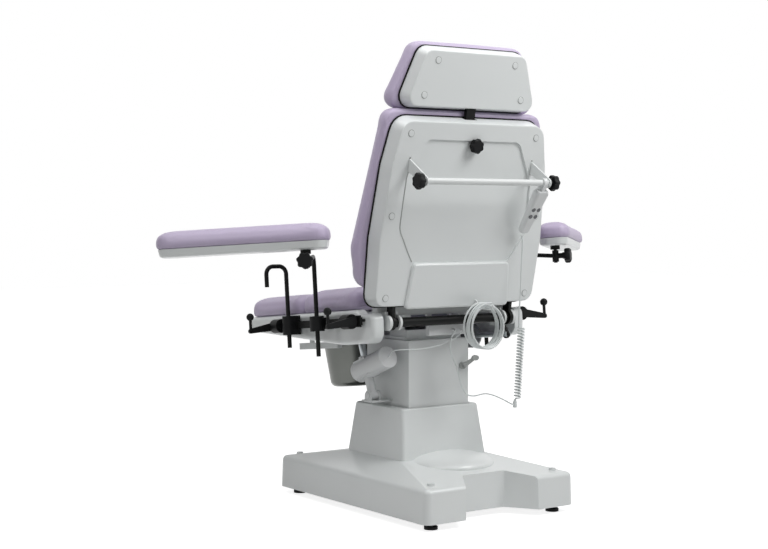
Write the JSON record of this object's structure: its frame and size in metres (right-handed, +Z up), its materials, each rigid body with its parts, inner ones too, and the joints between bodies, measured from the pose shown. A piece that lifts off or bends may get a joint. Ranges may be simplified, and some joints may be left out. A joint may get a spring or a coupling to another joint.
{
  "type": "gynecological examination table",
  "caption": "Gynecological examination table: lifting column, tilting seat with bowl, reclining back with headrest, swinging armrests, side rails, handset.",
  "frame": {"origin": "on the floor, under the middle of the table's overall length", "axes": "-Y towards the front of the seat, +X towards the patient's left, +Z up"},
  "size_m": [1.7216, 1.0153, 1.4648],
  "materials": {
    "gelcoat": "smooth pale grey-white moulded glass-fibre shell",
    "white_paint": "white powder coat",
    "upholstery": "lilac vinyl over foam, soft sheen",
    "black_paint": "black powder coat, satin",
    "black_plastic": "black moulded plastic",
    "zinc_steel": "zinc-plated steel",
    "stainless": "polished stainless steel",
    "grey_plastic": "dark grey moulded plastic",
    "white_plastic": "white moulded plastic",
    "cable": "pale grey cable jacket"
  },
  "bodies": {
    "base": {"base_shell": "gelcoat", "base_frame": "black_paint", "levelling_feet": "black_plastic", "outer_mast": "zinc_steel", "lift_motor": "zinc_steel"},
    "column": {"column_shroud": "white_paint", "inner_mast": "zinc_steel", "lift_piston": "zinc_steel", "tilt_yoke": "white_paint", "tilt_motor": "white_plastic", "motor_wire": "cable"},
    "lock_lever": {"lock_lever": "grey_plastic"},
    "tilt_rod": {"tilt_rod": "zinc_steel"},
    "seat": {"seat_frame": "white_paint", "tilt_shaft": "zinc_steel", "seat_casing": "gelcoat", "seat_cushion": "upholstery", "front_cushion": "upholstery", "side_rails": "black_paint", "rod_clamps": "black_plastic", "back_motor": "grey_plastic", "junction_box": "white_plastic", "lead_cord": "cable"},
    "back_rod": {"back_rod": "zinc_steel"},
    "bowl": {"bowl_carrier": "zinc_steel", "bowl": "stainless"},
    "back": {"back_shell": "gelcoat", "back_frame": "black_paint", "back_cushion": "upholstery", "roll_bar": "white_paint", "handset": "white_plastic", "handset_cord": "cable", "curly_cord": "cable", "cord_coil": "cable"},
    "head": {"head_stem": "black_paint", "head_shell": "gelcoat", "head_cushion": "upholstery"},
    "head_knob": {"head_knob": "black_plastic"},
    "arm_rod_left": {"arm_rod_left": "black_paint"},
    "arm_left": {"arm_shell_left": "gelcoat", "arm_cushion_left": "upholstery", "arm_spigot_left": "black_paint"},
    "arm_knob_left": {"arm_knob_left": "black_plastic"},
    "leg_rod_left": {"leg_rod_left": "black_paint"},
    "front_lever_left": {"front_lever_left": "black_plastic"},
    "rear_lever_left": {"rear_lever_left": "black_plastic"},
    "bar_knob_left": {"bar_knob_left": "black_plastic"},
    "arm_rod_right": {"arm_rod_right": "black_paint"},
    "arm_right": {"arm_shell_right": "gelcoat", "arm_cushion_right": "upholstery", "arm_spigot_right": "black_paint"},
    "arm_knob_right": {"arm_knob_right": "black_plastic"},
    "leg_rod_right": {"leg_rod_right": "black_paint"},
    "front_lever_right": {"front_lever_right": "black_plastic"},
    "rear_lever_right": {"rear_lever_right": "black_plastic"},
    "bar_knob_right": {"bar_knob_right": "black_plastic"},
    "back_up_button": {"back_up_button": "grey_plastic"},
    "back_down_button": {"back_down_button": "grey_plastic"},
    "lift_up_button": {"lift_up_button": "grey_plastic"},
    "lift_down_button": {"lift_down_button": "grey_plastic"}
  },
  "joints": [
    {"name": "lift", "type": "slide", "parent": "base", "child": "column", "axis": [0, 0, 1], "range_m": [0, 0.2]},
    {"name": "seat_tilt", "type": "hinge", "parent": "column", "child": "seat", "pos_m": [0, 0.09375, 0.598], "axis": [-1, 0, 0], "range_deg": [0, 20], "deforming": ["motor_wire"]},
    {"name": "tilt_rod_slide", "type": "slide", "parent": "column", "child": "tilt_rod", "axis": [0, -0.3624, 0.932], "range_m": [0, 0.0406]},
    {"name": "lock_lever_turn", "type": "hinge", "parent": "column", "child": "lock_lever", "pos_m": [-0.092, 0.18375, 0.447], "axis": [0, 1, 0], "range_deg": [-40, 40]},
    {"name": "back_recline", "type": "hinge", "parent": "seat", "child": "back", "pos_m": [0, 0.24403, 0.6019], "axis": [-1, 0, 0], "range_deg": [0, 75], "deforming": ["handset_cord", "curly_cord", "lead_cord", "cord_coil"]},
    {"name": "back_rod_slide", "type": "slide", "parent": "seat", "child": "back_rod", "axis": [0, 0.9957, 0.0924], "range_m": [-0.0853, 0]},
    {"name": "head_slide", "type": "slide", "parent": "back", "child": "head", "axis": [0, 0.1788, 0.9839], "range_m": [0, 0.08]},
    {"name": "head_knob_turn", "type": "hinge", "parent": "back", "child": "head_knob", "pos_m": [0, 0.36268, 1.14735], "axis": [0, 0.9839, -0.1788], "range_deg": [-180, 180]},
    {"name": "bowl_slide", "type": "slide", "parent": "seat", "child": "bowl", "axis": [0, -0.9957, -0.0924], "range_m": [0, 0.15]},
    {"name": "arm_height_left", "type": "slide", "parent": "seat", "child": "arm_rod_left", "axis": [0, -0.0924, 0.9957], "range_m": [0, 0.06]},
    {"name": "arm_swing_left", "type": "hinge", "parent": "arm_rod_left", "child": "arm_left", "pos_m": [0.5, 0.17929, 0.80177], "axis": [0, -0.0924, 0.9957], "range_deg": [-48, 42]},
    {"name": "arm_knob_turn_left", "type": "hinge", "parent": "arm_rod_left", "child": "arm_knob_left", "pos_m": [0.51473, 0.19881, 0.79655], "axis": [0.6137, 0.7862, 0.0729], "range_deg": [-180, 180]},
    {"name": "leg_rod_height_left", "type": "slide", "parent": "seat", "child": "leg_rod_left", "axis": [0, -0.0924, 0.9957], "range_m": [0, 0.04]},
    {"name": "front_lever_turn_left", "type": "hinge", "parent": "seat", "child": "front_lever_left", "pos_m": [0.343, -0.25973, 0.56521], "axis": [0, 0.9957, 0.0924], "range_deg": [-60, 25]},
    {"name": "rear_lever_turn_left", "type": "hinge", "parent": "seat", "child": "rear_lever_left", "pos_m": [0.343, 0.19432, 0.60733], "axis": [0, 0.9957, 0.0924], "range_deg": [-60, 25]},
    {"name": "bar_knob_turn_left", "type": "hinge", "parent": "back", "child": "bar_knob_left", "pos_m": [0.246, 0.43156, 1.03421], "axis": [1, 0, 0], "range_deg": [-180, 180]},
    {"name": "arm_height_right", "type": "slide", "parent": "seat", "child": "arm_rod_right", "axis": [0, -0.0924, 0.9957], "range_m": [0, 0.06]},
    {"name": "arm_swing_right", "type": "hinge", "parent": "arm_rod_right", "child": "arm_right", "pos_m": [-0.5, 0.17929, 0.80177], "axis": [0, -0.0924, 0.9957], "range_deg": [-42, 48]},
    {"name": "arm_knob_turn_right", "type": "hinge", "parent": "arm_rod_right", "child": "arm_knob_right", "pos_m": [-0.51473, 0.19881, 0.79655], "axis": [-0.6137, 0.7862, 0.0729], "range_deg": [-180, 180]},
    {"name": "leg_rod_height_right", "type": "slide", "parent": "seat", "child": "leg_rod_right", "axis": [0, -0.0924, 0.9957], "range_m": [0, 0.04]},
    {"name": "front_lever_turn_right", "type": "hinge", "parent": "seat", "child": "front_lever_right", "pos_m": [-0.343, -0.25973, 0.56521], "axis": [0, 0.9957, 0.0924], "range_deg": [-25, 60]},
    {"name": "rear_lever_turn_right", "type": "hinge", "parent": "seat", "child": "rear_lever_right", "pos_m": [-0.343, 0.19432, 0.60733], "axis": [0, 0.9957, 0.0924], "range_deg": [-25, 60]},
    {"name": "bar_knob_turn_right", "type": "hinge", "parent": "back", "child": "bar_knob_right", "pos_m": [-0.246, 0.43156, 1.03421], "axis": [-1, 0, 0], "range_deg": [-180, 180]},
    {"name": "back_up_press", "type": "slide", "parent": "back", "child": "back_up_button", "axis": [0, -0.8199, 0.5725], "range_m": [0, 0.0007], "stiffness_N_per_m": 400},
    {"name": "back_down_press", "type": "slide", "parent": "back", "child": "back_down_button", "axis": [0, -0.8199, 0.5725], "range_m": [0, 0.0007], "stiffness_N_per_m": 400},
    {"name": "lift_up_press", "type": "slide", "parent": "back", "child": "lift_up_button", "axis": [0, -0.8199, 0.5725], "range_m": [0, 0.0007], "stiffness_N_per_m": 400},
    {"name": "lift_down_press", "type": "slide", "parent": "back", "child": "lift_down_button", "axis": [0, -0.8199, 0.5725], "range_m": [0, 0.0007], "stiffness_N_per_m": 400}
  ],
  "couplings": [
    {"joint": "tilt_rod_slide", "follows": "seat_tilt", "m_per_rad": 0.11602},
    {"joint": "back_rod_slide", "follows": "back_recline", "m_per_rad": -0.065088}
  ]
}
